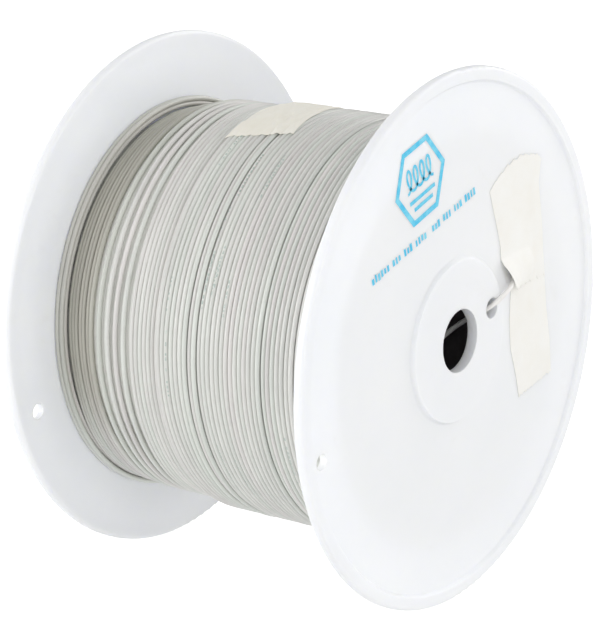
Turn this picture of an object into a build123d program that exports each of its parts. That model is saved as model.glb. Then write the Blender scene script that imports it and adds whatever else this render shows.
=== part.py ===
"""A plastic wire spool, eight inches across its flanges, full of insulated hook-up wire.

Frame: millimetres, +Z up. The origin is on the arbor bore's axis, midway between the flanges.
The axis runs along Y, and the front flange, which carries the print and the tape, faces -Y.
Angles on the spool are degrees from +Z towards +X, as seen from the front.
"""
import math
import os

from build123d import *

# Flanges
flange_diameter = 203.2
flange_thickness = 4.1
spool_width = 135.3
rim_bead_width = 5.1
rim_bead_height = 1.4
rim_edge_radius = 1.4
bead_draft = 0.8
bead_radius = 0.6
hub_boss_diameter = 63.0
hub_boss_height = 1.6
boss_draft = 0.8
boss_foot_radius = 0.9
boss_edge_radius = 0.5
bore_diameter = 24.0
start_hole_diameter = 8.0
start_hole_radius_out = 23.4
rim_hole_diameter = 6.0
rim_hole_radius_out = 90.6
hole_spacing_angle = 176.0
front_rim_hole_angle = -104.7
rear_rim_hole_angle = -108.7

# Barrel
barrel_outer_diameter = 70.0
barrel_inner_diameter = 62.0
spigot_length = 6.0
spigot_wall = 2.4
spigot_clearance = 0.1
barrel_hole_diameter = 9.0

# Wire
wire_diameter = 1.9
conductor_diameter = 1.3
winding_diameter = 158.0
layer_gap = 0.05
outer_layer_end = 13.5
valley_start = 42.5
valley_end = 59.7
valley_depth = 4.8
flange_turns_diameter = 152.4
finish_turn_start_angle = 3.0
finish_turn_sweep = 345.0

# Tape
tape_thickness = 0.2
tape_lift = 0.05
tent_height = 3.9
patch_width = 26.0
patch_place = 4.6
patch_start_angle = -24.0
patch_sweep = 37.0

# Derived sizes
flange_radius = flange_diameter / 2
barrel_radius = barrel_outer_diameter / 2
winding_radius = winding_diameter / 2
wire_radius = wire_diameter / 2
inner_face = spool_width / 2 - flange_thickness
outer_face = spool_width / 2
plate_face = outer_face - rim_bead_height
boss_face = plate_face + hub_boss_height

os.makedirs("parts", exist_ok=True)


def on_flange(radius_out, angle):
    """X and Z of a place on a flange, from its distance to the axis and its angle."""
    turn = math.radians(angle)
    return radius_out * math.sin(turn), radius_out * math.cos(turn)


def flange_section(side):
    """Half section of a flange in the XY plane: X is the distance from the axis, Y is along it."""
    boss_radius = hub_boss_diameter / 2
    spigot_radius = barrel_inner_diameter / 2 - spigot_clearance
    spigot_bore = spigot_radius - spigot_wall
    bead_edge = flange_radius - rim_bead_width
    outline = [
        (bore_diameter / 2, inner_face),
        (spigot_bore, inner_face),
        (spigot_bore, inner_face - spigot_length),
        (spigot_radius, inner_face - spigot_length),
        (spigot_radius, inner_face),
        (flange_radius, inner_face),
        (flange_radius, outer_face),
        (bead_edge, outer_face),
        (bead_edge - bead_draft, plate_face),
        (boss_radius, plate_face),
        (boss_radius - boss_draft, boss_face),
        (bore_diameter / 2, boss_face),
    ]
    rounded_corners = [
        (bead_edge, outer_face, bead_radius),
        (bead_edge - bead_draft, plate_face, bead_radius),
        (boss_radius, plate_face, boss_foot_radius),
        (boss_radius - boss_draft, boss_face, boss_edge_radius),
    ]
    with BuildSketch(Plane.XY) as section:
        with BuildLine():
            Polyline([(x, side * y) for x, y in outline], close=True)
        make_face()
        rim_corners = section.vertices().group_by(Axis.X)[-1]
        fillet(rim_corners, rim_edge_radius)
        for x, y, radius in rounded_corners:
            corner = section.vertices().sort_by_distance((x, side * y))[0]
            fillet(corner, radius)
    return section.sketch


def flange_holes(side, rim_hole_angle):
    """The start hole in the hub boss and the tie hole near the rim, on opposite sides of the bore."""
    start_hole_angle = rim_hole_angle - side * hole_spacing_angle
    with BuildSketch(Plane.XZ.offset(-side * inner_face)) as holes:
        with Locations(on_flange(start_hole_radius_out, start_hole_angle)):
            Circle(start_hole_diameter / 2)
        with Locations(on_flange(rim_hole_radius_out, rim_hole_angle)):
            Circle(rim_hole_diameter / 2)
    return holes.sketch


def ring_section(corners):
    """A closed half section, given as (distance from the axis, place along the axis)."""
    with BuildSketch(Plane.XY) as section:
        with BuildLine():
            Polyline(corners, close=True)
        make_face()
    return section.sketch


# Flanges: two like mouldings, each with its boss outward and its spigot inside the barrel.
with BuildPart() as front_flange:
    revolve(flange_section(-1), axis=Axis.Y)
    extrude(flange_holes(-1, front_rim_hole_angle), amount=2 * flange_thickness, mode=Mode.SUBTRACT)
front_flange.part.label = "front_flange"
export_step(front_flange.part, "parts/front_flange.step")

with BuildPart() as rear_flange:
    revolve(flange_section(1), axis=Axis.Y)
    extrude(flange_holes(1, rear_rim_hole_angle), amount=-2 * flange_thickness, mode=Mode.SUBTRACT)
rear_flange.part.label = "rear_flange"
export_step(rear_flange.part, "parts/rear_flange.step")

# The wire's start: from the barrel wall, past the arbor's path, out of the boss and under the tape.
lead_points = [
    (19.2, -34.0, -28.2),
    (19.8, -39.0, -17.0),
    (20.4, -47.4, -6.4),
    (20.9, -57.0, 1.7),
    (21.2, -65.6, 6.6),
    (24.0, -70.0, 10.7),
    (31.8, -69.8, 13.4),
    (39.5, -67.9, 15.7),
    (47.0, -67.45, 17.9),
]


def route_radii(points):
    """The bend at each inner point: 0.45 of the shorter run over the tangent of half the turn."""
    radii = []
    for before, corner, after in zip(points, points[1:], points[2:]):
        run_in = Vector(*corner) - Vector(*before)
        run_out = Vector(*after) - Vector(*corner)
        turn = math.radians(run_in.get_angle(run_out))
        shorter = min(run_in.length, run_out.length)
        radii.append(0.45 * shorter / math.tan(turn / 2))
    return radii


lead_radii = route_radii(lead_points)
print("bends of the start lead, mm:", [round(radius, 1) for radius in lead_radii])

# Barrel: a plain tube between the flanges, with the hole that the wire's start comes in by.
with BuildPart() as barrel:
    with BuildSketch(Plane.XZ.offset(-inner_face)):
        Circle(barrel_radius)
        Circle(barrel_inner_diameter / 2, mode=Mode.SUBTRACT)
    extrude(amount=2 * inner_face)
    hole_x, hole_y, hole_z = lead_points[0]
    with BuildSketch(Plane(origin=(0, hole_y - 0.5, 0), z_dir=(hole_x, 0, hole_z))):
        Circle(barrel_hole_diameter / 2)
    extrude(amount=barrel_radius + 1, mode=Mode.SUBTRACT)
barrel.part.label = "barrel"
export_step(barrel.part, "parts/barrel.step")

with BuildPart() as start_lead_insulation:
    with BuildLine() as insulation_path:
        FilletPolyline(*lead_points, radius=lead_radii)
    with BuildSketch(Plane(origin=insulation_path.line @ 0, z_dir=insulation_path.line % 0)):
        Circle(wire_radius)
        Circle(conductor_diameter / 2, mode=Mode.SUBTRACT)
    sweep()
start_lead_insulation.part.label = "start_lead_insulation"
export_step(start_lead_insulation.part, "parts/start_lead_insulation.step")

with BuildPart() as start_lead_conductor:
    with BuildLine() as conductor_path:
        FilletPolyline(*lead_points, radius=lead_radii)
    with BuildSketch(Plane(origin=conductor_path.line @ 0, z_dir=conductor_path.line % 0)):
        Circle(conductor_diameter / 2 - layer_gap)
    sweep()
start_lead_conductor.part.label = "start_lead_conductor"
export_step(start_lead_conductor.part, "parts/start_lead_conductor.step")

# Winding: each layer is one closed ring of the space that its turns fill. The outer layer was wound
# from the front flange and stops past the middle, so the layer below it shows from there on, and it
# slopes down into a valley before the rear flange.
lower_top = winding_radius - 2 * wire_diameter
middle_top = winding_radius - wire_diameter
wound_face = inner_face - layer_gap

with BuildPart() as wire_lower_layers:
    revolve(ring_section([
        (barrel_radius + layer_gap, -wound_face),
        (lower_top, -wound_face),
        (lower_top, valley_start),
        (lower_top - valley_depth, valley_end),
        (lower_top - valley_depth, wound_face),
        (barrel_radius + layer_gap, wound_face),
    ]), axis=Axis.Y)
wire_lower_layers.part.label = "wire_lower_layers"
export_step(wire_lower_layers.part, "parts/wire_lower_layers.step")

with BuildPart() as wire_middle_layer:
    revolve(ring_section([
        (lower_top + layer_gap, -wound_face),
        (middle_top, -wound_face),
        (middle_top, valley_start),
        (middle_top - valley_depth, valley_end),
        (middle_top - valley_depth, wound_face),
        (lower_top - valley_depth + layer_gap, wound_face),
        (lower_top - valley_depth + layer_gap, valley_end),
        (lower_top + layer_gap, valley_start),
    ]), axis=Axis.Y)
wire_middle_layer.part.label = "wire_middle_layer"
export_step(wire_middle_layer.part, "parts/wire_middle_layer.step")

with BuildPart() as wire_outer_layer:
    revolve(ring_section([
        (middle_top + layer_gap, -wound_face),
        (winding_radius, -wound_face),
        (winding_radius, outer_layer_end),
        (middle_top + layer_gap, outer_layer_end),
    ]), axis=Axis.Y)
wire_outer_layer.part.label = "wire_outer_layer"
export_step(wire_outer_layer.part, "parts/wire_outer_layer.step")

# Turns piled against the rear flange, two wires wide.
flange_turns_radius = flange_turns_diameter / 2
with BuildPart() as wire_flange_turns:
    revolve(ring_section([
        (middle_top - valley_depth + layer_gap, valley_end),
        (flange_turns_radius, valley_end),
        (flange_turns_radius, wound_face),
        (middle_top - valley_depth + layer_gap, wound_face),
    ]), axis=Axis.Y)
wire_flange_turns.part.label = "wire_flange_turns"
export_step(wire_flange_turns.part, "parts/wire_flange_turns.step")

# The last turn: it lies beside the outer layer's end, and both its ends are under the tape patch.
finish_turn_place = outer_layer_end + wire_radius
finish_x, finish_z = on_flange(winding_radius - wire_radius, finish_turn_start_angle)
finish_plane = Plane(
    origin=(finish_x, finish_turn_place, finish_z),
    z_dir=(finish_z, 0, -finish_x),
)
with BuildPart() as finish_turn_insulation:
    with BuildSketch(finish_plane):
        Circle(wire_radius - layer_gap)
        Circle(conductor_diameter / 2, mode=Mode.SUBTRACT)
    revolve(axis=Axis.Y, revolution_arc=finish_turn_sweep)
finish_turn_insulation.part.label = "finish_turn_insulation"
export_step(finish_turn_insulation.part, "parts/finish_turn_insulation.step")

with BuildPart() as finish_turn_conductor:
    with BuildSketch(finish_plane):
        Circle(conductor_diameter / 2 - layer_gap)
    revolve(axis=Axis.Y, revolution_arc=finish_turn_sweep)
finish_turn_conductor.part.label = "finish_turn_conductor"
export_step(finish_turn_conductor.part, "parts/finish_turn_conductor.step")

# Tape on the front flange. The lower piece is stuck down first; the upper piece laps over it and
# stands up as a small tent over the end of the wire.
lower_tape_outline = [
    (38.6, 16.3),
    (37.8, -1.0),
    (39.1, -12.4),
    (43.3, -23.4),
    (46.1, -33.6),
    (48.9, -28.3),
    (62.0, -30.1),
    (70.5, -28.9),
    (69.0, -16.4),
    (65.7, -2.1),
    (63.0, 16.3),
]
upper_tape_outline = [
    (21.4, 52.0),
    (29.7, 57.9),
    (39.0, 61.5),
    (48.5, 61.6),
    (58.9, 58.5),
    (57.4, 48.5),
    (60.8, 32.2),
    (63.0, 11.3),
    (38.9, 12.9),
    (30.9, 22.0),
    (30.0, 29.3),
    (26.0, 40.4),
]
tent_outline = [
    (35.4, 18.0),
    (38.9, 12.9),
    (52.0, 13.3),
    (50.0, 23.3),
    (36.0, 23.3),
]
tent_room_outline = [
    (34.0, 18.3),
    (37.6, 11.3),
    (38.6, 13.3),
    (51.6, 13.7),
    (49.8, 23.1),
    (36.4, 23.1),
]

with BuildPart() as flange_tape_lower:
    with BuildSketch(Plane.XZ.offset(plate_face + tape_lift)):
        with BuildLine():
            Polyline(lower_tape_outline, close=True)
        make_face()
    extrude(amount=tape_thickness)
    with BuildSketch(Plane.XZ.offset(plate_face)):
        with BuildLine():
            Polyline(tent_outline, close=True)
        make_face()
    extrude(amount=1, mode=Mode.SUBTRACT)
flange_tape_lower.part.label = "flange_tape_lower"
export_step(flange_tape_lower.part, "parts/flange_tape_lower.step")

upper_tape_face = plate_face + 2 * tape_lift + tape_thickness
with BuildPart() as flange_tape_upper:
    with BuildSketch(Plane.XZ.offset(upper_tape_face)):
        with BuildLine():
            Polyline(upper_tape_outline, close=True)
        make_face()
    extrude(amount=tape_thickness)
    with BuildSketch(Plane.XZ.offset(upper_tape_face)):
        with BuildLine():
            Polyline(tent_outline, close=True)
        make_face()
    extrude(amount=tent_height)
    with BuildSketch(Plane.XZ.offset(plate_face)):
        with BuildLine():
            Polyline(tent_room_outline, close=True)
        make_face()
    extrude(amount=tent_height, mode=Mode.SUBTRACT)
flange_tape_upper.part.label = "flange_tape_upper"
export_step(flange_tape_upper.part, "parts/flange_tape_upper.step")

# Tape patch round the winding, over the wire's finish end.
with BuildPart() as winding_tape:
    patch_x, patch_z = on_flange(1, patch_start_angle)
    patch_plane = Plane(origin=(0, patch_place, 0), x_dir=(patch_x, 0, patch_z), z_dir=(patch_z, 0, -patch_x))
    with BuildSketch(patch_plane):
        with Locations((winding_radius + tape_lift + tape_thickness / 2, 0)):
            Rectangle(tape_thickness, patch_width)
    revolve(axis=Axis.Y, revolution_arc=patch_sweep)
winding_tape.part.label = "winding_tape"
export_step(winding_tape.part, "parts/winding_tape.step")
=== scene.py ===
"""Looks for the wire spool: milky plastic flanges, hook-up wire wound turn by turn, paper tape.

Lengths are metres. The spool's axis is the Y axis and the front flange faces -Y. Angles on the
spool are degrees from +Z towards +X, as seen from the front.
"""

import math

import bmesh
import bpy
import numpy as np
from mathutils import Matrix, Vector


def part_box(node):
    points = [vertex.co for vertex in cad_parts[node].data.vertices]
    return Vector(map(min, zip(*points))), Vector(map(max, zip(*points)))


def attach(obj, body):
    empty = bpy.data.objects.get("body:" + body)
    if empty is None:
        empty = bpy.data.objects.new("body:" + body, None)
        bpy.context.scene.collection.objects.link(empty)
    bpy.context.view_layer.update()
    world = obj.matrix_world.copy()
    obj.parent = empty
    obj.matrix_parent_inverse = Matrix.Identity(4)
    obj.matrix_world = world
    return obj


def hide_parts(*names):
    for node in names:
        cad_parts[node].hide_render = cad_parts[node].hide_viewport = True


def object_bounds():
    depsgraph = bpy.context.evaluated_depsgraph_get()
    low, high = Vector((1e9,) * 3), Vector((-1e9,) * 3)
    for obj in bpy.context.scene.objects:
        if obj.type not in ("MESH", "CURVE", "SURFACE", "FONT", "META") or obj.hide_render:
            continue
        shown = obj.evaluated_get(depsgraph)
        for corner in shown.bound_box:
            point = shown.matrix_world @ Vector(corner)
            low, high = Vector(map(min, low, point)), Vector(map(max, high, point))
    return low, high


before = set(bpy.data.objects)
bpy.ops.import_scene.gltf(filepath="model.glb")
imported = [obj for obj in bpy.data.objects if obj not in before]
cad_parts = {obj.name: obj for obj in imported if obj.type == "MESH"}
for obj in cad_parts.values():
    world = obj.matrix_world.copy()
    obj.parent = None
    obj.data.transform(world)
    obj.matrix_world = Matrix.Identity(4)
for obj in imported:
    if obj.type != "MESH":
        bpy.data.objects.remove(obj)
cad_low, cad_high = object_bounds()

MM = 0.001
BODY = "root"
CAD_GAP = 0.05 * MM  # between solids of the CAD that lie on each other
rng = np.random.default_rng(23)


def radius_of(node):
    """Outer radius of a CAD node that is round about the spool's axis."""
    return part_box(node)[1].x


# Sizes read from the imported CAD
flange_radius = radius_of("front_flange")
barrel_radius = radius_of("barrel")
outer_top = radius_of("wire_outer_layer")
middle_top = radius_of("wire_middle_layer")
lower_top = radius_of("wire_lower_layers")
flange_turns_top = radius_of("wire_flange_turns")
wound_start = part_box("wire_outer_layer")[0].y
outer_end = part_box("wire_outer_layer")[1].y
wound_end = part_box("wire_middle_layer")[1].y
flange_turns_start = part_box("wire_flange_turns")[0].y
wire_diameter = outer_top - middle_top
wire_radius = wire_diameter / 2
print_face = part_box("flange_tape_lower")[1].y + CAD_GAP

# The wire and how it was wound
STEPS = 144  # points in a turn
FIRST_ANGLE = 3.0  # where the outer layer's turns begin
FLANGE_TURNS_ANGLE = 110.0  # where the turns of the middle layer and against the flange begin
CROSSOVER = 60 / 360  # share of a turn in which the wire steps over by its own width
GAP_RAMP = 0.15  # share of a turn in which a gap opens or closes
LEVEL_SPACING = 1.035  # from one turn to the next, in wire diameters
SLOPE_SPACING = 1.01
LAYER_DRIFT = 0.07 * MM  # unevenness of a layer's radius over many turns
TURN_DRIFT = 0.05 * MM  # and within a turn or so
WIRE_SIDES = 10
SLEEVE_SIDES = 12
LEAD_SIDES = 16
CONDUCTOR_RADIUS = 0.63 * MM
SLEEVE_BORE = CONDUCTOR_RADIUS + 0.02 * MM
STRAND_SIDES = 6
STRAND_LAY = 22 * MM  # length in which the strands twist once
VALLEY_START = 42.5 * MM
VALLEY_DEPTH = 4.8 * MM
valley_slope = VALLEY_DEPTH / (flange_turns_start - VALLEY_START)


# ---------------------------------------------------------------- shapes


def smooth(x):
    """Smooth step from 0 to 1."""
    x = np.clip(x, 0.0, 1.0)
    return x * x * (3.0 - 2.0 * x)


def drift(along, size, slowest, fastest, waves=7):
    """Smooth random values along a line; size is about the largest."""
    rates = rng.uniform(slowest, fastest, waves)
    starts = rng.uniform(0.0, 2 * math.pi, waves)
    total = sum(np.sin(2 * math.pi * rate * along + start) for rate, start in zip(rates, starts))
    return size * total / math.sqrt(2.0 * waves)


def unit(vectors):
    """The same vectors with length 1."""
    return vectors / np.linalg.norm(vectors, axis=1)[:, None]


def join_shapes(shapes):
    """Several (points, faces) as one."""
    points = []
    faces = []
    for more_points, more_faces in shapes:
        shift = len(points)
        points += [tuple(p) for p in more_points]
        faces += [tuple(int(i) + shift for i in face) for face in more_faces]
    return points, faces


def new_piece(name, shape, material, rounded=True):
    """A mesh object that rides on the spool and takes its finish from a slot."""
    sharp_from = math.radians(75)
    mesh = bpy.data.meshes.new(name)
    points, faces = join_shapes([shape])
    mesh.from_pydata(points, [], faces)
    mesh.polygons.foreach_set("use_smooth", [rounded] * len(mesh.polygons))
    mesh.set_sharp_from_angle(angle=sharp_from)
    mesh.materials.append(material)
    piece = bpy.data.objects.new(name, mesh)
    bpy.context.scene.collection.objects.link(piece)
    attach(piece, BODY)
    return piece


def face_outwards(piece):
    """Turns the faces of a closed mesh outwards."""
    work = bmesh.new()
    work.from_mesh(piece.data)
    bmesh.ops.recalc_face_normals(work, faces=work.faces)
    work.to_mesh(piece.data)
    work.free()


def set_along(piece, values, ring, name="along_wire"):
    """Stores a value for each point of a wire's line, for the material."""
    attribute = piece.data.attributes.new(name, "FLOAT", "POINT")
    attribute.data.foreach_set("value", np.repeat(values, ring).astype(np.float32))


def lengths_along(centres):
    """Distance along a line of points."""
    runs = np.linalg.norm(np.diff(centres, axis=0), axis=1)
    return np.concatenate([[0.0], np.cumsum(runs)])


def grid_faces(rows, ring, closed=True):
    """Quads between neighbouring rows of points."""
    here = np.arange(ring if closed else ring - 1)
    there = (here + 1) % ring
    row = np.arange(rows - 1)[:, None] * ring
    quads = [row + here, row + there, row + there + ring, row + here + ring]
    return np.stack(quads, -1).reshape(-1, 4)


def tube(centres, out, radius, ring, bore=0.0):
    """A round wire along centres, with flat ends, or a sleeve where it has a bore."""
    tangent = unit(np.gradient(centres, axis=0))
    across = unit(np.cross(tangent, out))
    out = np.cross(across, tangent)
    turn = 2 * math.pi * np.arange(ring) / ring
    shell = np.cos(turn)[None, :, None] * out[:, None, :]
    shell = shell + np.sin(turn)[None, :, None] * across[:, None, :]
    points = (centres[:, None, :] + radius * shell).reshape(-1, 3)
    rows = len(centres)
    faces = [tuple(quad) for quad in grid_faces(rows, ring)]
    last = (rows - 1) * ring
    if not bore:
        faces.append(tuple(range(ring - 1, -1, -1)))
        faces.append(tuple(range(last, last + ring)))
        return points, faces
    inner = (centres[:, None, :] + bore * shell).reshape(-1, 3)
    shift = len(points)
    faces += [tuple(shift + i for i in quad[::-1]) for quad in grid_faces(rows, ring)]
    for i in range(ring):
        j = (i + 1) % ring
        faces.append((j, i, shift + i, shift + j))
        faces.append((last + i, last + j, shift + last + j, shift + last + i))
    return np.concatenate([points, inner]), faces


def strands(centres, out):
    """Seven strands that fill a conductor: a straight one and six twisted round it."""
    strand_radius = CONDUCTOR_RADIUS / 3
    tangent = unit(np.gradient(centres, axis=0))
    across = unit(np.cross(tangent, out))
    out = np.cross(across, tangent)
    twist = 2 * math.pi * lengths_along(centres) / STRAND_LAY
    shapes = [tube(centres, out, strand_radius, STRAND_SIDES)]
    for k in range(6):
        angle = twist + k * math.pi / 3
        arm = np.cos(angle)[:, None] * out + np.sin(angle)[:, None] * across
        middle = centres + 2 * strand_radius * arm
        shapes.append(tube(middle, arm, strand_radius, STRAND_SIDES))
    return join_shapes(shapes)


def revolved(profile, steps):
    """A closed half section, as (distance from the axis, place along it), turned about the axis."""
    profile = np.array(profile)
    angle = 2 * math.pi * np.arange(steps) / steps
    x = np.sin(angle)[:, None] * profile[:, 0]
    y = np.broadcast_to(profile[:, 1], x.shape)
    z = np.cos(angle)[:, None] * profile[:, 0]
    ring = len(profile)
    faces = grid_faces(steps + 1, ring) % (steps * ring)
    return np.stack([x, y, z], -1).reshape(-1, 3), faces


def slab(front, back):
    """A closed sheet between two grids of points, each rows x columns x 3."""
    rows, columns = front.shape[:2]
    shift = rows * columns
    quads = grid_faces(rows, columns, closed=False)
    faces = [tuple(quad) for quad in quads]
    faces += [tuple(shift + i for i in quad[::-1]) for quad in quads]
    edge = list(range(columns))
    edge += [r * columns + columns - 1 for r in range(1, rows)]
    edge += [(rows - 1) * columns + c for c in range(columns - 2, -1, -1)]
    edge += [r * columns for r in range(rows - 2, 0, -1)]
    for here, there in zip(edge, edge[1:] + edge[:1]):
        faces.append((there, here, shift + here, shift + there))
    points = np.concatenate([front.reshape(-1, 3), back.reshape(-1, 3)])
    return points, faces


# ---------------------------------------------------------------- materials


def new_material(name):
    """A new material and its Principled shader."""
    made = bpy.data.materials.new(name)
    made.use_nodes = True
    return made, made.node_tree.nodes["Principled BSDF"]


def add_node(material, kind, inputs=None, **settings):
    """A node with its settings, and each input either linked or set."""
    node = material.node_tree.nodes.new(kind)
    for key, value in settings.items():
        setattr(node, key, value)
    for key, value in (inputs or {}).items():
        if isinstance(value, bpy.types.NodeSocket):
            material.node_tree.links.new(value, node.inputs[key])
        else:
            node.inputs[key].default_value = value
    return node


def link(material, output, socket):
    """Joins an output to an input."""
    material.node_tree.links.new(output, socket)


def object_place(material, scale=(1, 1, 1), turn=(0, 0, 0)):
    """Object coordinates, stretched and turned."""
    source = add_node(material, "ShaderNodeTexCoord")
    inputs = {"Vector": source.outputs["Object"], "Scale": scale, "Rotation": turn}
    return add_node(material, "ShaderNodeMapping", inputs).outputs["Vector"]


def noise(material, place, scale, detail=3.0, roughness=0.5, distortion=0.0):
    """The value of a noise texture."""
    inputs = {
        "Vector": place,
        "Scale": scale,
        "Detail": detail,
        "Roughness": roughness,
        "Distortion": distortion,
    }
    return add_node(material, "ShaderNodeTexNoise", inputs).outputs["Fac"]


def to_range(material, value, low, high, to_low, to_high):
    """A value between low and high carried over to another range."""
    inputs = {
        "Value": value,
        "From Min": low,
        "From Max": high,
        "To Min": to_low,
        "To Max": to_high,
    }
    return add_node(material, "ShaderNodeMapRange", inputs).outputs["Result"]


def mix_colour(material, share, first, second, blend="MIX"):
    """Two colours mixed."""
    node = add_node(material, "ShaderNodeMix", data_type="RGBA", blend_type=blend)
    for index, value in ((0, share), (6, first), (7, second)):
        if isinstance(value, bpy.types.NodeSocket):
            link(material, value, node.inputs[index])
        else:
            node.inputs[index].default_value = value
    return node.outputs[2]


def bump(material, height, strength, distance, normal=None):
    """A bump on top of an earlier one."""
    inputs = {"Height": height, "Strength": strength, "Distance": distance}
    if normal:
        inputs["Normal"] = normal
    return add_node(material, "ShaderNodeBump", inputs).outputs["Normal"]


def scratches(material, angle, amount):
    """Fine straight scratches in one direction, as 0 to 1."""
    place = object_place(material, (14, 14, 900), (0, angle, 0))
    lines = noise(material, place, 1.0, 2.0, 0.6)
    return to_range(material, lines, 0.70 - amount, 0.74, 0.0, 1.0)


def milky_plastic(name):
    """Natural polyethylene: milky, satin, lightly scuffed, with faint tooling rings."""
    material, shader = new_material(name)
    place = object_place(material)
    clouds = noise(material, place, 14.0, 4.0, 0.6)
    grime = noise(material, place, 55.0, 6.0, 0.7, 0.4)
    share = to_range(material, clouds, 0.35, 0.68, 0.0, 1.0)
    milk = mix_colour(material, share, (0.865, 0.88, 0.90, 1), (0.90, 0.91, 0.925, 1))
    specks = to_range(material, grime, 0.62, 0.78, 0.0, 0.35)
    colour = mix_colour(material, specks, milk, (0.80, 0.79, 0.77, 1))
    link(material, colour, shader.inputs["Base Color"])
    marks = scratches(material, 0.5, 0.02)
    more_marks = scratches(material, 2.1, 0.0)
    sheen = to_range(material, grime, 0.3, 0.7, 0.34, 0.5)
    rough = add_node(material, "ShaderNodeMath", {0: marks, 1: 0.12}, operation="MULTIPLY")
    rougher = add_node(
        material, "ShaderNodeMath", {0: sheen, 1: rough.outputs[0]}, operation="ADD"
    )
    link(material, rougher.outputs[0], shader.inputs["Roughness"])
    rings = add_node(
        material,
        "ShaderNodeTexWave",
        {"Vector": place, "Scale": 210.0, "Distortion": 1.5, "Detail": 2.0},
        wave_type="RINGS",
        rings_direction="Y",
    )
    normal = bump(material, noise(material, place, 120.0, 3.0), 0.25, 0.25 * MM)
    normal = bump(material, rings.outputs["Fac"], 0.12, 0.03 * MM, normal)
    normal = bump(material, noise(material, place, 1500.0, 2.0), 0.3, 0.03 * MM, normal)
    normal = bump(material, marks, -0.35, 0.04 * MM, normal)
    normal = bump(material, more_marks, -0.3, 0.04 * MM, normal)
    link(material, normal, shader.inputs["Normal"])
    shader.inputs["Subsurface Weight"].default_value = 1.0
    shader.inputs["Subsurface Radius"].default_value = (1.0, 1.0, 1.08)
    shader.inputs["Subsurface Scale"].default_value = 2.0 * MM
    shader.inputs["IOR"].default_value = 1.5
    return material


def black_plastic_painted_shade(name):
    """Black extruded tube, matt, with lengthwise die lines and dust. Its black is painted shade,
    for the dark inside of the hollow hub.
    """
    material, shader = new_material(name)
    place = object_place(material)
    dust = noise(material, place, 90.0, 5.0, 0.7)
    share = to_range(material, dust, 0.5, 0.8, 0.0, 1.0)
    colour = mix_colour(material, share, (0.085, 0.076, 0.08, 1), (0.13, 0.12, 0.125, 1))
    link(material, colour, shader.inputs["Base Color"])
    link(material, to_range(material, dust, 0.3, 0.7, 0.5, 0.7), shader.inputs["Roughness"])
    lines = noise(material, object_place(material, (1, 0.02, 1)), 1400.0, 2.0)
    link(material, bump(material, lines, 0.3, 0.03 * MM), shader.inputs["Normal"])
    shader.inputs["Specular IOR Level"].default_value = 0.2
    return material


def wire_insulation(name, tone_low, tone_high):
    """Pale grey extruded insulation, semi-gloss, a little uneven in tone from turn to turn, made
    darker by painted shade where the valley lies in the rear flange's shade.
    """
    material, shader = new_material(name)
    along = add_node(material, "ShaderNodeAttribute", attribute_name="along_wire")
    tone = add_node(
        material,
        "ShaderNodeTexNoise",
        {"W": along.outputs["Fac"], "Scale": 9.0, "Detail": 4.0, "Roughness": 0.6},
        noise_dimensions="1D",
    ).outputs["Fac"]
    hue = add_node(
        material,
        "ShaderNodeTexNoise",
        {"W": along.outputs["Fac"], "Scale": 2.3, "Detail": 2.0},
        noise_dimensions="1D",
    ).outputs["Fac"]
    place = object_place(material)
    dust = noise(material, place, 260.0, 5.0, 0.7)
    tint = to_range(material, hue, 0.35, 0.65, 0.0, 1.0)
    base = mix_colour(material, tint, (0.745, 0.77, 0.725, 1), (0.775, 0.755, 0.735, 1))
    # Tones above 1 make the wire lighter than its own colour: painted light, used for the buried
    # layers and the start lead.
    shade = to_range(material, tone, 0.3, 0.7, 0.0, 1.0)
    darker = mix_colour(material, shade, (*[tone_low] * 3, 1), (*[tone_high] * 3, 1))
    toned = mix_colour(material, 1.0, base, darker, "MULTIPLY")
    # Painted shade: the attribute darkens and yellows the valley's wires, which lie in the rear
    # flange's shade.
    painted_valley_shade = add_node(material, "ShaderNodeAttribute", attribute_name="painted_valley_shade").outputs["Fac"]
    toned = mix_colour(material, painted_valley_shade, toned, (0.66, 0.645, 0.59, 1), "MULTIPLY")
    dirt = to_range(material, dust, 0.58, 0.8, 0.0, 0.3)
    colour = mix_colour(material, dirt, toned, (0.56, 0.55, 0.52, 1))
    link(material, colour, shader.inputs["Base Color"])
    link(material, to_range(material, dust, 0.3, 0.7, 0.3, 0.46), shader.inputs["Roughness"])
    normal = bump(material, noise(material, place, 900.0, 3.0), 0.3, 0.04 * MM)
    normal = bump(material, noise(material, place, 190.0, 2.0), 0.25, 0.12 * MM, normal)
    link(material, normal, shader.inputs["Normal"])
    shader.inputs["IOR"].default_value = 1.46
    shader.inputs["Coat Weight"].default_value = 0.12
    shader.inputs["Coat Roughness"].default_value = 0.22
    return material


def tinned_copper(name):
    """Tinned copper strands, drawn, with faint die lines and dull patches."""
    material, shader = new_material(name)
    place = object_place(material)
    patches = noise(material, place, 420.0, 4.0, 0.6)
    share = to_range(material, patches, 0.35, 0.7, 0.0, 1.0)
    colour = mix_colour(material, share, (0.62, 0.61, 0.59, 1), (0.74, 0.73, 0.71, 1))
    link(material, colour, shader.inputs["Base Color"])
    link(material, to_range(material, patches, 0.3, 0.7, 0.24, 0.42), shader.inputs["Roughness"])
    lines = noise(material, place, 3000.0, 1.0)
    link(material, bump(material, lines, 0.3, 0.01 * MM), shader.inputs["Normal"])
    shader.inputs["Metallic"].default_value = 1.0
    return material


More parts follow.
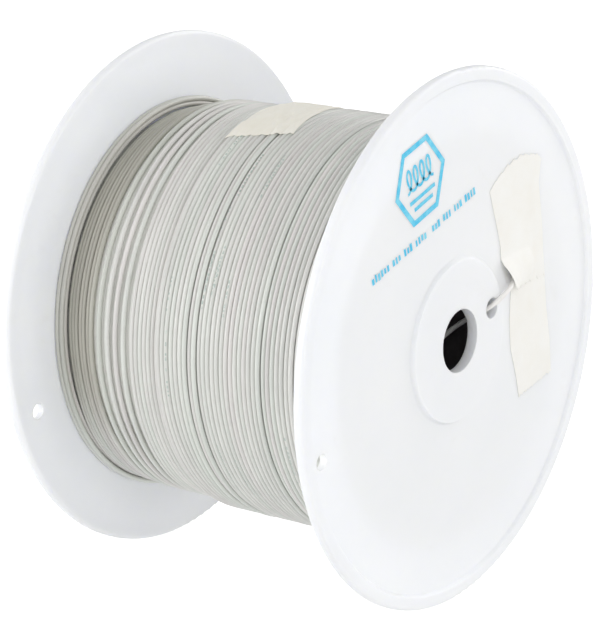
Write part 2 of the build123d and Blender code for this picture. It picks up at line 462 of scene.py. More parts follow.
def masking_tape(name, first, second, show_through):
    """Cream crepe paper: fine crinkles across the tape, fibres, and patches of adhesive."""
    material, shader = new_material(name)
    place = object_place(material)
    cloud = noise(material, place, 70.0, 5.0, 0.65)
    fibre = noise(material, object_place(material, (1.0, 1.0, 4.0)), 700.0, 4.0, 0.7)
    share = to_range(material, cloud, 0.32, 0.68, 0.0, 1.0)
    paper = mix_colour(material, share, first, second)
    flecks = to_range(material, fibre, 0.55, 0.8, 0.0, 0.25)
    darker = tuple(0.9 * c for c in first[:3]) + (1,)
    link(material, mix_colour(material, flecks, paper, darker), shader.inputs["Base Color"])
    link(material, to_range(material, fibre, 0.3, 0.7, 0.62, 0.82), shader.inputs["Roughness"])
    crepe = add_node(
        material,
        "ShaderNodeTexWave",
        {
            "Vector": place,
            "Scale": 420.0,
            "Distortion": 9.0,
            "Detail": 3.0,
            "Detail Scale": 1.6,
            "Detail Roughness": 0.7,
        },
        wave_type="BANDS",
        bands_direction="Z",
    )
    normal = bump(material, crepe.outputs["Fac"], 0.35, 0.04 * MM)
    normal = bump(material, fibre, 0.3, 0.04 * MM, normal)
    normal = bump(material, cloud, 0.25, 0.2 * MM, normal)
    link(material, normal, shader.inputs["Normal"])
    shader.inputs["Subsurface Weight"].default_value = show_through
    shader.inputs["Subsurface Radius"].default_value = (1.0, 0.9, 0.75)
    shader.inputs["Subsurface Scale"].default_value = 0.6 * MM
    shader.inputs["Sheen Weight"].default_value = 0.15
    shader.inputs["Sheen Roughness"].default_value = 0.6
    shader.inputs["Specular IOR Level"].default_value = 0.35
    return material


def pad_ink(name, thin, thick, patch_scale):
    """Stamped ink, thinner in places, with the plastic's satin surface."""
    material, shader = new_material(name)
    place = object_place(material)
    density = noise(material, place, patch_scale, 5.0, 0.65)
    share = to_range(material, density, 0.36, 0.6, 0.0, 1.0)
    link(material, mix_colour(material, share, thin, thick), shader.inputs["Base Color"])
    link(material, to_range(material, density, 0.3, 0.7, 0.36, 0.55), shader.inputs["Roughness"])
    grain = noise(material, place, 1800.0, 2.0)
    link(material, bump(material, grain, 0.3, 0.02 * MM), shader.inputs["Normal"])
    return material


def pale_floor(name):
    """A white studio floor that glows a little, as a lit table does."""
    material, shader = new_material(name)
    place = object_place(material)
    cloud = noise(material, place, 3.0, 3.0)
    share = to_range(material, cloud, 0.3, 0.7, 0.0, 1.0)
    colour = mix_colour(material, share, (0.90, 0.90, 0.90, 1), (0.92, 0.92, 0.92, 1))
    link(material, colour, shader.inputs["Base Color"])
    shader.inputs["Roughness"].default_value = 0.9
    shader.inputs["Specular IOR Level"].default_value = 0.1
    shader.inputs["Emission Color"].default_value = (1, 1, 1, 1)
    shader.inputs["Emission Strength"].default_value = 0.6
    return material


plastic = milky_plastic("milky_plastic")
# The barrel is black as painted shade: it darkens the inside of the hub, which is seen through the
# bore.
barrel_plastic = black_plastic_painted_shade("black_plastic_painted_shade")
insulation = wire_insulation("wire_insulation_grey", tone_low=0.87, tone_high=1.03)
# The buried layers and the start lead are the same wire in lighter copies, tones above 1: painted
# light on wires that lie in shade.
buried_insulation_painted_light = wire_insulation("wire_insulation_buried_painted_light", tone_low=1.1, tone_high=1.2)
lead_insulation = wire_insulation("wire_insulation_lead_painted_light", tone_low=1.12, tone_high=1.2)
conductor = tinned_copper("tinned_copper")
flange_paper = masking_tape(
    "masking_tape", (0.955, 0.935, 0.875, 1), (0.99, 0.98, 0.94, 1), show_through=0.08
)
patch_paper = masking_tape(
    "thin_masking_tape", (0.935, 0.895, 0.775, 1), (0.985, 0.96, 0.865, 1), show_through=0.15
)
blue_ink = pad_ink(
    "blue_ink", (0.20, 0.69, 0.88, 1), (0.05, 0.54, 0.83, 1), patch_scale=260.0
)
grey_ink = pad_ink(
    "grey_green_ink", (0.66, 0.70, 0.66, 1), (0.44, 0.52, 0.48, 1), patch_scale=900.0
)


# ---------------------------------------------------------------- flanges and barrel


def finish_plastic_parts():
    """The flanges and the barrel keep their CAD shape."""
    finishes = (
        ("front_flange", plastic, "spool_plastic"),
        ("rear_flange", plastic, "spool_plastic"),
        ("barrel", barrel_plastic, "barrel_plastic"),
    )
    for node, finish, slot in finishes:
        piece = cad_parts[node]
        piece.data.materials.clear()
        piece.data.materials.append(finish)


# ---------------------------------------------------------------- winding


FITTING_ROUNDS = 8  # of scaling a layer's slack to fit


def places_of_turns(start, end, turns, gaps, pitch, first_angle):
    """Places along the axis of a layer's wire, each turn lying beside the one before it.

    start and end are the first and last places. gaps are (turn, width, sway, phase): the slack
    that opens before that turn, and how much and where round the spool it is widest. All the
    slack together is scaled so that the last turn ends at its place all the way round.
    """
    number = np.arange(turns * STEPS + 1)
    at = number / STEPS
    share = (number % STEPS) / STEPS
    angle = 2 * math.pi * share + math.radians(first_angle)
    slack = np.zeros(len(number))
    for turn, width, sway, phase in gaps:
        opened = smooth((at - turn) / GAP_RAMP) - smooth((at - turn - 1) / GAP_RAMP)
        slack += width * (1 + sway * np.cos(angle - math.radians(phase))) * opened
    step_over = wire_diameter * smooth((share[:STEPS] - 1 + CROSSOVER) / CROSSOVER)
    total = slack[: turns * STEPS].reshape(turns, STEPS).sum(0)
    scale = np.ones(STEPS)
    for _ in range(FITTING_ROUNDS):
        scaled = slack * scale[number % STEPS]
        places = np.empty(len(number))
        places[:STEPS] = start + step_over
        for turn in range(1, turns + 1):
            now = slice(turn * STEPS, min((turn + 1) * STEPS, len(number)))
            before = places[(turn - 1) * STEPS : (turn - 1) * STEPS + now.stop - now.start]
            places[now] = before + pitch(before) + scaled[now]
        wanted = end - wire_diameter + step_over
        scale += (wanted - places[(turns - 1) * STEPS : turns * STEPS]) / total
    return places


def level_pitch(place):
    """Distance between neighbouring turns of a level layer, which lie just clear of each other."""
    return LEVEL_SPACING * wire_diameter * np.ones(len(place))


def middle_pitch(place):
    """The same in the middle layer, shorter along the axis where it slopes into the valley."""
    cosine = 1 / math.sqrt(1 + valley_slope**2)
    return SLOPE_SPACING * wire_diameter * np.where(place > VALLEY_START, cosine, 1.0)


def valley_drop(place):
    """How far the winding has sunk at a place along the axis."""
    return valley_slope * np.maximum(place - VALLEY_START, 0.0)


def valley_share(count, first_angle):
    """How deep the valley is round the spool, as a share: it is shallow at the bottom."""
    angle = np.radians(first_angle + 360.0 * np.arange(count) / STEPS)
    lost_at_bottom = 0.72
    return 1 - lost_at_bottom * smooth((-np.cos(angle) - 0.15) / 0.75)


def wound(places, radii, first_angle):
    """Centre line and outward directions of a wire wound at those places and radii."""
    angle = np.radians(first_angle + 360.0 * np.arange(len(places)) / STEPS)
    out = np.stack([np.sin(angle), np.zeros(len(angle)), np.cos(angle)], 1)
    centres = out * radii[:, None]
    centres[:, 1] = places
    return centres, out


def uneven(places, radius):
    """Radii of a hand-guided layer: slow drift, and small steps from turn to turn."""
    at = np.arange(len(places)) / STEPS
    return radius + drift(at, LAYER_DRIFT, 0.4, 3.3) + drift(at, TURN_DRIFT, 3.0, 9.0)


def within_turn(turn, count):
    """1 along that turn of a wire and 0 elsewhere, with soft ends."""
    at = np.arange(count) / STEPS
    return smooth((at - turn) / TURN_RAMP) - smooth((at - turn - 1) / TURN_RAMP)


def wire_piece(name, centres, out, node):
    """A wound wire as a piece that stands for a CAD node, with painted shade that makes it darker
    and yellower in the valley.
    """
    shape = tube(centres, out, wire_radius, WIRE_SIDES)
    piece = new_piece(name, shape, insulation)
    set_along(piece, lengths_along(centres), WIRE_SIDES)
    # Painted shade: full in the valley, half on the turns against the flange, and little at the
    # bottom, where the valley is shallow.
    painted_valley_shade = smooth((centres[:, 1] - VALLEY_START + 4 * MM) / (9 * MM))
    painted_valley_shade -= 0.5 * smooth((centres[:, 1] - flange_turns_start) / MM)
    painted_valley_shade *= 1 - 0.9 * smooth((-out[:, 2] - 0.15) / 0.6)
    set_along(piece, painted_valley_shade, WIRE_SIDES, "painted_valley_shade")
    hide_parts(node)
    return piece


# The outer layer. One turn rides high on its neighbours and four have sunk between theirs.
OUTER_TURNS = 37
TURN_RAMP = 0.1  # share of a turn in which such a turn rises or sinks
RAISED_TURN = 29
RAISED_BY = 0.12 * MM
SUNKEN_TURNS = (7, 14, 28, 30)
SUNKEN_BY = 0.58 * MM
outer_gaps = [
    (2, 0.15 * MM, 0.5, -60),
    (5, 0.15 * MM, 0.5, -120),
    (7, 0.12 * MM, 0.2, -95),
    (8, 0.15 * MM, 0.2, -95),
    (10, 0.18 * MM, 0.4, -80),
    (12, 0.10 * MM, 0.6, -130),
    (14, 0.25 * MM, 0.2, -90),
    (15, 0.25 * MM, 0.2, -90),
    (17, 0.12 * MM, 0.6, -140),
    (20, 0.12 * MM, 0.6, 40),
    (22, 0.12 * MM, 0.6, -80),
    (24, 0.12 * MM, 0.7, -60),
    (26, 0.16 * MM, 0.6, -120),
    (28, 0.22 * MM, 0.2, -90),
    (29, 0.20 * MM, 0.2, -90),
    (30, 0.20 * MM, 0.2, -80),
    (31, 0.22 * MM, 0.2, -80),
    (33, 0.15 * MM, 0.6, -40),
    (35, 0.15 * MM, 0.4, -90),
]
outer_places = places_of_turns(
    wound_start + wire_radius,
    outer_end - wire_radius,
    OUTER_TURNS,
    outer_gaps,
    level_pitch,
    FIRST_ANGLE,
)
outer_radii = uneven(outer_places, outer_top - wire_radius)
outer_radii += RAISED_BY * within_turn(RAISED_TURN, len(outer_places))
for sunken_turn in SUNKEN_TURNS:
    outer_radii -= SUNKEN_BY * within_turn(sunken_turn, len(outer_places))
outer_centres, outer_out = wound(outer_places, outer_radii, FIRST_ANGLE)
wire_piece("outer_layer_turns", outer_centres, outer_out, "wire_outer_layer")

# The finish turn carries on from the outer layer and ends under the tape patch.
FINISH_SWEEP = 345
finish_count = int(STEPS * FINISH_SWEEP / 360)
finish_places = outer_places[-STEPS - 1 : -STEPS - 1 + finish_count] + wire_diameter
finish_radii = uneven(finish_places, outer_top - wire_radius)
finish_centres, finish_out = wound(finish_places, finish_radii, FIRST_ANGLE)
finish_sleeve = tube(finish_centres, finish_out, wire_radius, SLEEVE_SIDES, SLEEVE_BORE)
finish_turn = new_piece("finish_turn_sleeve", finish_sleeve, insulation)
set_along(finish_turn, np.tile(lengths_along(finish_centres), 2), SLEEVE_SIDES)
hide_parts("finish_turn_insulation")
finish_core = new_piece(
    "finish_turn_strands", strands(finish_centres, finish_out), conductor
)
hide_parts("finish_turn_conductor")

# The middle layer lies under the outer one and goes on down into the valley.
MIDDLE_TURNS = 58
PAST_FLANGE_TURNS = 0.6 * MM  # how far it reaches under the turns against the flange
TUCK_POINTS = 8
TUCK_DEPTH = 2 * MM
middle_gaps = [
    (6, 0.9 * MM, 0.95, 105),
    (13, 0.9 * MM, 0.95, 100),
    (20, 0.9 * MM, 0.95, 110),
    (27, 0.9 * MM, 0.95, 105),
    (34, 0.9 * MM, 0.95, 105),
    (47, 1.15 * MM, 0.85, -75),
    (48, 1.03 * MM, 0.85, -72),
    (49, 0.95 * MM, 0.85, -68),
    (50, 1.16 * MM, 0.85, -74),
    (51, 1.35 * MM, 0.85, -78),
    (53, 0.40 * MM, 0.6, -80),
    (55, 0.40 * MM, 0.6, -80),
]
middle_places = places_of_turns(
    wound_start + wire_radius,
    flange_turns_start + PAST_FLANGE_TURNS,
    MIDDLE_TURNS,
    middle_gaps,
    middle_pitch,
    FLANGE_TURNS_ANGLE,
)
middle_share = valley_share(len(middle_places), FLANGE_TURNS_ANGLE)
middle_radii = uneven(middle_places, middle_top - wire_radius)
middle_radii -= valley_drop(middle_places) * middle_share
# The last turn ends on the far side, tucked under the turns against the flange.
middle_count = int((MIDDLE_TURNS - CROSSOVER) * STEPS)
middle_places = middle_places[:middle_count]
middle_radii = middle_radii[:middle_count]
middle_radii[-TUCK_POINTS:] -= TUCK_DEPTH * smooth(np.linspace(0, 1, TUCK_POINTS))
middle_centres, middle_out = wound(middle_places, middle_radii, FLANGE_TURNS_ANGLE)
wire_piece("middle_layer_turns", middle_centres, middle_out, "wire_middle_layer")


LOWER_TURNS = 66
RIB_ANGLES = (-68, -40, -14, 14, 40, 68)


def lower_layers():
    """The layers below, as one body with a rib for each turn of its top layer."""
    pitch = (wound_end - wound_start) / LOWER_TURNS
    bottom = barrel_radius + CAD_GAP
    profile = [(bottom, wound_start)]
    for turn in range(LOWER_TURNS):
        middle = wound_start + (turn + 0.5) * pitch
        sunk = min(valley_drop(np.array([middle]))[0], VALLEY_DEPTH)
        centre = lower_top - wire_radius - sunk
        for angle in RIB_ANGLES:
            side = math.radians(angle)
            rise = centre + wire_radius * math.cos(side)
            profile.append((rise, middle + pitch / 2 * math.sin(side)))
    profile.append((bottom, wound_end))
    piece = new_piece(
        "lower_layers_turns", revolved(profile, STEPS), buried_insulation_painted_light
    )
    face_outwards(piece)
    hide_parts("wire_lower_layers")


lower_layers()


def flange_side_turns():
    """Four turns piled two by two against the rear flange, highest at the bottom.

    Each step is (turn number, level, places from the flange): which of the two levels the wire
    is on, in wire diameters, and how many wires lie between it and the flange. It goes smoothly
    from step to step. The last turn dives between the turns below.
    """
    over = CROSSOVER
    steps = [
        (0.0, 0.0, 1.0),
        (1 - 0.25 * over, 0.0, 1.0),
        (1.0, 0.0, 0.0),
        (2 - 0.5 * over, 0.0, 0.0),
        (2 - 0.25 * over, 1.0, 0.0),
        (3 - 0.75 * over, 1.0, 0.0),
        (3 - 0.5 * over, 1.0, 1.0),
        (4 - over, 1.0, 1.0),
        (4 - 0.6 * over, 0.1, 1.8),
        (4 - 0.3 * over, -1.1, 1.9),
    ]
    number = np.arange(int(steps[-1][0] * STEPS) + 1)
    at = number / STEPS
    level = np.zeros(len(at))
    inward = np.ones(len(at))
    for (t0, level0, place0), (t1, level1, place1) in zip(steps, steps[1:]):
        here = (at >= t0) & (at <= t1)
        share = smooth((at[here] - t0) / (t1 - t0))
        level[here] = level0 + (level1 - level0) * share
        inward[here] = place0 + (place1 - place0) * share
    # The pile stands low at the sides, a little higher on top and highest at the bottom.
    cosine = np.cos(np.radians(FLANGE_TURNS_ANGLE + 360.0 * at))
    swell = (-0.50 - 0.92 * cosine + 1.63 * cosine**2) * MM
    top = flange_turns_top - wire_radius + swell
    pile_drift = 0.1 * MM
    radii = top - (1 - level) * wire_diameter + drift(at, pile_drift, 0.5, 4.0)
    places = wound_end - wire_radius - inward * wire_diameter
    centres, out = wound(places, radii, FLANGE_TURNS_ANGLE)
    wire_piece("flange_side_turns", centres, out, "wire_flange_turns")


flange_side_turns()


# Rows of dashes: places along the axis in millimetres, angles round the spool, dashes in a row.
# Lengths and gaps are in points of the wire's line, and the tilt round the wire is in radians.
DASH_PLACES = (-6.5, -10.9, -16.9, -42.8, 9.4)
DASH_ANGLES = (160, 345)
ROWS_IN_TURN = 4
DASHES_IN_ROW = (8, 15)
DASH_TILT = 0.5
DASH_LENGTH = (0.15, 0.42)
DASH_SPACE = (0.14, 0.3)
MISSING_SHARE = 0.12
DASH_TOP = 0.035 * MM
DASH_ROOT = 0.08 * MM
DASH_SKIN_ANGLES = (-0.3, -0.1, 0.1, 0.3)


def printed_dashes():
    """Faint grey-green dashes stamped along some turns."""
    shapes = []
    for place in DASH_PLACES:
        turn = int(np.argmin(np.abs(outer_places[STEPS // 2 :: STEPS] - place * MM)))
        for angle in rng.uniform(*DASH_ANGLES, ROWS_IN_TURN):
            first = turn * STEPS + (angle - FIRST_ANGLE) / 360 * STEPS
            tilt = rng.uniform(-DASH_TILT, DASH_TILT)
            for _ in range(int(rng.integers(*DASHES_IN_ROW))):
                length = rng.uniform(*DASH_LENGTH)
                if rng.random() > MISSING_SHARE:
                    shapes.append(dash(first, first + length, tilt))
                first += length + rng.uniform(*DASH_SPACE)
    piece = new_piece("wire_dashes", join_shapes(shapes), grey_ink)
    face_outwards(piece)


def dash(first, last, tilt):
    """One printed dash, as a thin skin on the outer layer's wire between two of its points."""
    at = np.linspace(first, last, 3)
    numbers = np.arange(len(outer_places))
    centres = np.stack([np.interp(at, numbers, outer_centres[:, i]) for i in range(3)], 1)
    out = np.stack([np.interp(at, numbers, outer_out[:, i]) for i in range(3)], 1)
    layers = []
    for radius in (wire_radius + DASH_TOP, wire_radius - DASH_ROOT):
        rows = []
        for across in DASH_SKIN_ANGLES:
            angle = tilt + across
            arm = math.cos(angle) * out + math.sin(angle) * np.array([0.0, 1.0, 0.0])
            rows.append(centres + radius * arm)
        layers.append(np.stack(rows))
    return slab(*layers)


printed_dashes()


# ---------------------------------------------------------------- start lead

# The route of part.py's start lead, in metres.
lead_route = [
    (0.0192, -0.0340, -0.0282),
    (0.0198, -0.0390, -0.0170),
    (0.0204, -0.0474, -0.0064),
    (0.0209, -0.0570, 0.0017),
    (0.0212, -0.0656, 0.0066),
    (0.0240, -0.0700, 0.0107),
    (0.0318, -0.0698, 0.0134),
    (0.0395, -0.0679, 0.0157),
    (0.0470, -0.06745, 0.0179),
]


def spline_line(route):
    """Points along a smooth curve that has the route's points as its control points."""
    curve = bpy.data.curves.new("route", "CURVE")
    curve.dimensions = "3D"
    spline = curve.splines.new("NURBS")
    spline.points.add(len(route) - 1)
    for point, place in zip(spline.points, route):
        point.co = (*place, 1.0)
    spline.order_u = 3
    spline.use_endpoint_u = True
    spline.resolution_u = 14
    guide = bpy.data.objects.new("route", curve)
    mesh = bpy.data.meshes.new_from_object(guide)
    line = np.array([v.co for v in mesh.vertices], float)
    bpy.data.objects.remove(guide)
    bpy.data.meshes.remove(mesh)
    return line


def carried_frames(line):
    """Directions square to a line that don't twist along it."""
    tangent = unit(np.gradient(line, axis=0))
    out = np.zeros_like(line)
    start = np.cross(tangent[0], (0.0, 1.0, 0.0))
    out[0] = start / np.linalg.norm(start)
    for i in range(1, len(line)):
        carried = out[i - 1] - tangent[i] * (out[i - 1] @ tangent[i])
        out[i] = carried / np.linalg.norm(carried)
    return out


lead_line = spline_line(lead_route)
lead_out = carried_frames(lead_line)
lead_sleeve_shape = tube(lead_line, lead_out, wire_radius, LEAD_SIDES, SLEEVE_BORE)
lead_sleeve = new_piece(
    "start_lead_sleeve", lead_sleeve_shape, lead_insulation
)
set_along(lead_sleeve, np.tile(lengths_along(lead_line), 2), LEAD_SIDES)
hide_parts("start_lead_insulation")
lead_core = new_piece(
    "start_lead_strands", strands(lead_line, lead_out), conductor
)
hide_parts("start_lead_conductor")


# ---------------------------------------------------------------- tape

TAPE_THICKNESS = 0.13 * MM
STAND_OFF = 0.01 * MM  # of a tape that lies flat on the flange
LEAD_CLEARANCE = 0.25 * MM
TENT_FALL = 40.0  # how fast the tent falls off beside the lead, per metre
TENT_BLEND = 0.6 * MM


def resampled(line, count):
    """A line of points, evenly spaced."""
    line = np.array(line, float)
    along = lengths_along(line)
    at = np.linspace(0, along[-1], count)
    return np.stack([np.interp(at, along, line[:, i]) for i in range(line.shape[1])], 1)


def in_box(node, shares):
    """Places on the flange, given as shares of a CAD node's width and height."""
    low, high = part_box(node)
    return [(low.x + u * (high.x - low.x), low.z + v * (high.z - low.z)) for u, v in shares]


def ruled_sheet(left, right, rows, columns, ragged):
    """X and Z of a sheet between its left and right edges, with torn top and bottom ends.

    Each end's outline is a coarse drift and half as much of a fine one.
    """
    left = resampled(left, rows)
    right = resampled(right, rows)
    share = np.linspace(0, 1, columns)[None, :, None]
    flat = left[:, None, :] * (1 - share) + right[:, None, :] * share
    at = np.linspace(0, 1, columns)
    top = drift(at, ragged, 3, 12, 9) + drift(at, 0.5 * ragged, 14, 30, 9)
    foot = drift(at, ragged, 3, 12, 9) + drift(at, 0.5 * ragged, 14, 30, 9)
    down = np.linspace(0, 1, rows)[:, None]
    flat[:, :, 1] += top * np.clip(1 - 12 * down, 0, 1) + foot * np.clip(12 * down - 11, 0, 1)
    return flat


def crumple(x, z, size, scale, folds):
    """Height of random straight folds."""
    height = np.zeros_like(x)
    for _ in range(folds):
        angle = rng.uniform(0, math.pi)
        start = rng.uniform(0, 1)
        rate = scale * rng.uniform(0.6, 1.5)
        phase = rate * (x * math.cos(angle) + z * math.sin(angle)) + start
        height += 1 - np.abs(2 * (phase % 1) - 1)
    return size * height / folds


def over_lead(x, z):
    """How far the tape has to stand off the flange to clear the lead below it."""
    front = print_face - lead_line[:, 1] + wire_radius + LEAD_CLEARANCE
    under = lead_line[:, 0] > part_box("flange_tape_upper")[0].x
    gap = (x[..., None] - lead_line[under, 0]) ** 2 + (z[..., None] - lead_line[under, 2]) ** 2
    return np.max(front[under] - TENT_FALL * gap, axis=-1)


def flange_sheet(name, node, flat, height):
    """A piece of tape on the front flange at that height above it."""
    front = np.stack([flat[:, :, 0], print_face - height - TAPE_THICKNESS, flat[:, :, 1]], -1)
    back = np.stack([flat[:, :, 0], print_face - height, flat[:, :, 1]], -1)
    piece = new_piece(name, slab(front, back), flange_paper)
    face_outwards(piece)
    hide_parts(node)
    return piece


def inner_share(shape, rows_in, columns_in):
    """0 at a sheet's edges and 1 inside it."""
    rows, columns = shape
    down = np.minimum(np.arange(rows), np.arange(rows)[::-1])[:, None] / rows_in
    along = np.minimum(np.arange(columns), np.arange(columns)[::-1])[None, :] / columns_in
    return np.minimum(smooth(down), smooth(along))


def flange_tape():
    """The two pieces of tape over the wire's start. Their edges go from top to bottom."""
    node = "flange_tape_lower"
    left = in_box(node, [(0.024, 1.0), (0.0, 0.65), (0.04, 0.42), (0.168, 0.2), (0.26, 0.0)])
    right = in_box(node, [(0.771, 1.0), (0.85, 0.64), (0.954, 0.345), (1.0, 0.09)])
    flat = ruled_sheet(left, right, 110, 60, ragged=0.5 * MM)
    x, z = flat[:, :, 0], flat[:, :, 1]
    folds = crumple(x, z, size=0.12 * MM, scale=95, folds=7)
    height = STAND_OFF + folds * inner_share(x.shape, 7, 5)
    flange_sheet("lower_flange_tape", node, flat, height)

    node = "flange_tape_upper"
    left = in_box(
        node, [(0.0, 0.81), (0.11, 0.58), (0.207, 0.358), (0.225, 0.213), (0.345, 0.012)]
    )
    right = in_box(node, [(0.9, 0.94), (0.865, 0.74), (0.947, 0.416), (1.0, 0.0)])
    rows, columns = 120, 84
    flat = ruled_sheet(left, right, rows, columns, ragged=0.6 * MM)
    # The top end is torn in an arch.
    arch = 6.0 * MM
    share = np.linspace(0, 1, columns)[None, :]
    down = np.linspace(0, 1, rows)[:, None]
    flat[:, :, 1] += arch * 4 * share * (1 - share) * np.clip(1 - 1.6 * down, 0, 1) ** 2
    x, z = flat[:, :, 0], flat[:, :, 1]
    # Lower down it lies on the other piece, and it stands off the flange over the lead.
    overlap_top, overlap_ramp = 22 * MM, 4 * MM
    on_lower = smooth((overlap_top - z) / overlap_ramp)
    base = STAND_OFF + (TAPE_THICKNESS + 0.1 * MM) * on_lower
    folds = crumple(x, z, size=0.15 * MM, scale=75, folds=7)
    height = base + folds * inner_share(x.shape, 7, 6)
    tent = over_lead(x, z)
    height = 0.5 * (height + tent + np.hypot(height - tent, TENT_BLEND))
    flange_sheet("upper_flange_tape", node, flat, height)


flange_tape()


def wires_under(angle):
    """Places and radii of the wires' centres at one angle, under the tape patch."""
    found = []
    for places, radii, first_angle in (
        (outer_places, outer_radii, FIRST_ANGLE),
        (finish_places, finish_radii, FIRST_ANGLE),
        (middle_places, middle_radii, FLANGE_TURNS_ANGLE),
    ):
        at = ((angle - first_angle) % 360) / 360 * STEPS
        numbers = np.arange(len(places))
        turns = np.arange(at, len(places) - 1, STEPS)
        found.append(
            np.stack([np.interp(turns, numbers, places), np.interp(turns, numbers, radii)], 1)
        )
    return np.concatenate(found)


PATCH_ANGLES = (-24.0, 13.0)
PATCH_SHIFT = 1.8 * MM  # towards the front flange, at the end that shows
PATCH_SLANT = 0.16 * MM  # along the axis, for each degree round the spool
EDGE_SLANT = 3.0  # of the end that shows, in degrees over half the width
SAG = 160.0  # how sharply the tape bends between turns, per metre


def winding_patch():
    """The patch over the wire's finish end. It sinks a little between the turns below it."""
    low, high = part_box("winding_tape")
    middle = (low.y + high.y) / 2
    half = (high.y - low.y) / 2
    rows, columns = 75, 96
    start, stop = PATCH_ANGLES
    across = np.linspace(-half, half, columns)
    front = np.empty((rows, columns, 3))
    back = np.empty((rows, columns, 3))
    fine = np.arange(low.y - 6 * MM, high.y + 12 * MM, 0.12 * MM)
    slant = EDGE_SLANT * (1 - across / half)
    torn = drift(across / MM, size=0.35, slowest=0.05, fastest=0.5, waves=9)
    start_edge = slant + torn
    # The tape lies on the wires under it and sags between their tops.
    heights = []
    places = []
    for angle in np.linspace(start, stop, rows):
        place = middle - PATCH_SHIFT + PATCH_SLANT * (angle - start) + across
        wires = wires_under(angle)
        apart = np.abs(fine[:, None] - wires[:, 0])
        tops = np.sqrt(np.maximum(wire_radius**2 - apart**2, 0.0)) + wires[:, 1]
        support = np.where(apart < wire_radius, tops, 0.0).max(1)
        sag = SAG * (place[:, None] - fine) ** 2
        heights.append(np.max(support - sag, axis=1))
        places.append(place)
    heights = np.array(heights)
    places = np.array(places)
    near_start = np.linspace(1, 0, rows)[:, None] ** 6
    turn = np.linspace(start, stop, rows)[:, None] + start_edge * near_start
    # Two slanted creases, and small folds all over.
    ridge_a = np.exp(-(((places - middle) / MM - 0.9 * (turn + 10)) / 1.3) ** 2)
    ridge_b = np.exp(-(((places - middle) / MM + 6 - 0.9 * (turn + 10)) / 1.1) ** 2)
    lift = 0.45 * MM * ridge_a + 0.35 * MM * ridge_b
    around = np.radians(turn) * outer_top
    lift = lift + crumple(places, around, size=0.06 * MM, scale=120, folds=6)
    pressed_in = 0.04 * MM
    lift = lift - pressed_in
    for grid, thick in ((front, TAPE_THICKNESS), (back, 0.0)):
        radius = heights + CAD_GAP + lift + thick
        grid[:, :, 0] = radius * np.sin(np.radians(turn))
        grid[:, :, 1] = places
        grid[:, :, 2] = radius * np.cos(np.radians(turn))
    piece = new_piece("winding_tape_patch", slab(front, back), patch_paper)
    face_outwards(piece)
    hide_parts("winding_tape")


winding_patch()


# ---------------------------------------------------------------- print on the front flange

# The print's drawing is in millimetres on the flange, as (x, z).
PRINT_TILT = math.radians(16.5)
INK_THICKNESS = 0.04 * MM
INK_ROOT = 0.02 * MM
MARK_PLACE = (-26.4, 65.3)
MARK_RADIUS = 15.6
LINE_START = (-55.8, 33.4)
BARS_IN_GROUP = (6, 3, 3, 4, 0, 3, 3, 3, 4)
BAR_SPACING = 1.98
GROUP_SPACE = 1.75


def stroke(line, width, closed=False):
    """A flat stroke along points in millimetres, with mitred corners, as a thin solid."""
    line = np.array(line, float)
    count = len(line)
    left = []
    right = []
    for i in range(count):
        runs = []
        if closed or i > 0:
            runs.append(line[i] - line[(i - 1) % count])
        if closed or i < count - 1:
            runs.append(line[(i + 1) % count] - line[i])
        runs = [run / np.linalg.norm(run) for run in runs]
        along = sum(runs) / np.linalg.norm(sum(runs))
        side = np.array([-along[1], along[0]])
        reach = width / 2 / max(0.5, abs(along @ runs[0]))
        left.append(line[i] + reach * side)
        right.append(line[i] - reach * side)
    if closed:
        left.append(left[0])
        right.append(right[0])
    flat = np.stack([left, right], 1) * MM
    layers = []
    for height in (INK_THICKNESS, -INK_ROOT):
        y = np.full(flat.shape[:2], print_face - height)
        layers.append(np.stack([flat[:, :, 0], y, flat[:, :, 1]], -1))
    return slab(*layers)


def placed(points, origin):
    """Points of the print's own drawing, tilted and moved to their place, in millimetres."""
    c, s = math.cos(PRINT_TILT), math.sin(PRINT_TILT)
    return [(origin[0] + c * x - s * y, origin[1] + s * x + c * y) for x, y in points]


def flange_print():
    """A made-up mark, a coil and two bars in a hexagon, and a row of bars below it."""
    shapes = []
    corners = np.radians(np.arange(0, 360, 60))
    hexagon = [(MARK_RADIUS * math.cos(a), MARK_RADIUS * math.sin(a)) for a in corners]
    shapes.append(stroke(placed(hexagon, MARK_PLACE), width=2.1, closed=True))
    coil = []
    for t in np.linspace(0, 1, 90):
        around = 8 * math.pi * t
        coil.append((-8.6 + 17.2 * t + 2.2 * math.sin(around), 2.6 - 4.2 * math.cos(around)))
    shapes.append(stroke(placed(coil, MARK_PLACE), width=1.1))
    for height, half in ((-5.6, 8.4), (-8.8, 6.2)):
        bar = placed([(-half, height), (half, height)], MARK_PLACE)
        shapes.append(stroke(bar, width=1.5))
    place = 0.0
    for count in BARS_IN_GROUP:
        for _ in range(count):
            low = rng.uniform(-0.2, 0.4)
            high = rng.uniform(2.2, 3.1)
            bar = placed([(place, low), (place, high)], LINE_START)
            shapes.append(stroke(bar, rng.uniform(0.95, 1.5)))
            place += BAR_SPACING
        place += GROUP_SPACE
    piece = new_piece("flange_print", join_shapes(shapes), blue_ink, False)
    face_outwards(piece)


flange_print()
finish_plastic_parts()


# ---------------------------------------------------------------- studio

KEY_SIDE = (-0.82, -0.30, -0.48)  # the side where the surroundings are brightest
WORLD_DIM = 0.50
WORLD_BRIGHT = 0.76
FLOOR_SIZE = 14.0
# The camera's place is in flange radii from the middle of the spool.
CAMERA_PLACE = (-7.98844, -5.56275, 2.73503)
CAMERA_FORWARD = (0.78682, 0.55349, -0.27306)
CAMERA_LENS = 151.3
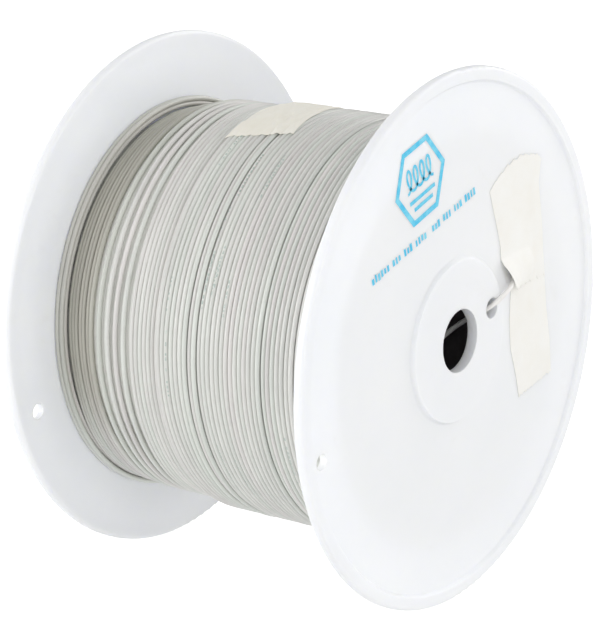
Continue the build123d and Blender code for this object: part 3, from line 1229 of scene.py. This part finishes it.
# Each softbox: name, place, length of its sides, power. All of them face the spool.
SOFTBOXES = (
    ("key_softbox", (-1.65, 1.0, 0.3), 0.9, 12.0),
    ("fill_softbox", (-0.7, -1.8, 0.4), 1.4, 13.0),
    ("back_softbox", (-0.4, 2.0, 0.1), 1.2, 13.0),
    ("side_softbox", (1.6, -0.45, 0.75), 1.0, 10.0),
)


def add_floor():
    """A pale floor under the spool's rims."""
    bpy.ops.mesh.primitive_grid_add(x_subdivisions=8, y_subdivisions=8, size=FLOOR_SIZE)
    floor = bpy.context.object
    floor.name = "studio_floor"
    floor.location = (0, 0, cad_low.z - 0.05 * MM)
    floor.data.materials.append(pale_floor("studio_white"))
    floor.visible_diffuse = False


def add_softbox(name, place, size, power):
    """A large square soft light that the camera doesn't see."""
    data = bpy.data.lights.new(name, "AREA")
    data.shape = "RECTANGLE"
    data.size = size
    data.size_y = size
    data.energy = power
    light = bpy.data.objects.new(name, data)
    light.location = place
    light.rotation_mode = "QUATERNION"
    light.visible_camera = False
    light.rotation_quaternion = (-Vector(place)).to_track_quat("-Z", "Y")
    bpy.context.scene.collection.objects.link(light)


def add_world():
    """White surroundings, brighter on one side."""
    world = bpy.data.worlds.new("studio")
    world.use_nodes = True
    background = world.node_tree.nodes["Background"]
    direction = add_node(world, "ShaderNodeTexCoord").outputs["Generated"]
    inputs = {0: direction, 1: KEY_SIDE}
    towards = add_node(world, "ShaderNodeVectorMath", inputs, operation="DOT_PRODUCT")
    level = to_range(world, towards.outputs["Value"], -1.0, 1.0, WORLD_DIM, WORLD_BRIGHT)
    link(world, level, background.inputs["Strength"])
    background.inputs["Color"].default_value = (1, 1, 1, 1)
    bpy.context.scene.world = world


def add_camera():
    """The camera at its place, looking along its own line."""
    data = bpy.data.cameras.new("camera")
    data.sensor_width = 36.0
    data.lens = CAMERA_LENS
    camera = bpy.data.objects.new("camera", data)
    camera.location = flange_radius * Vector(CAMERA_PLACE)
    camera.rotation_mode = "QUATERNION"
    camera.rotation_quaternion = Vector(CAMERA_FORWARD).to_track_quat("-Z", "Y")
    bpy.context.scene.collection.objects.link(camera)
    bpy.context.scene.camera = camera


add_floor()
add_world()
add_camera()
for softbox in SOFTBOXES:
    add_softbox(*softbox)
bpy.context.scene.view_settings.view_transform = "Standard"
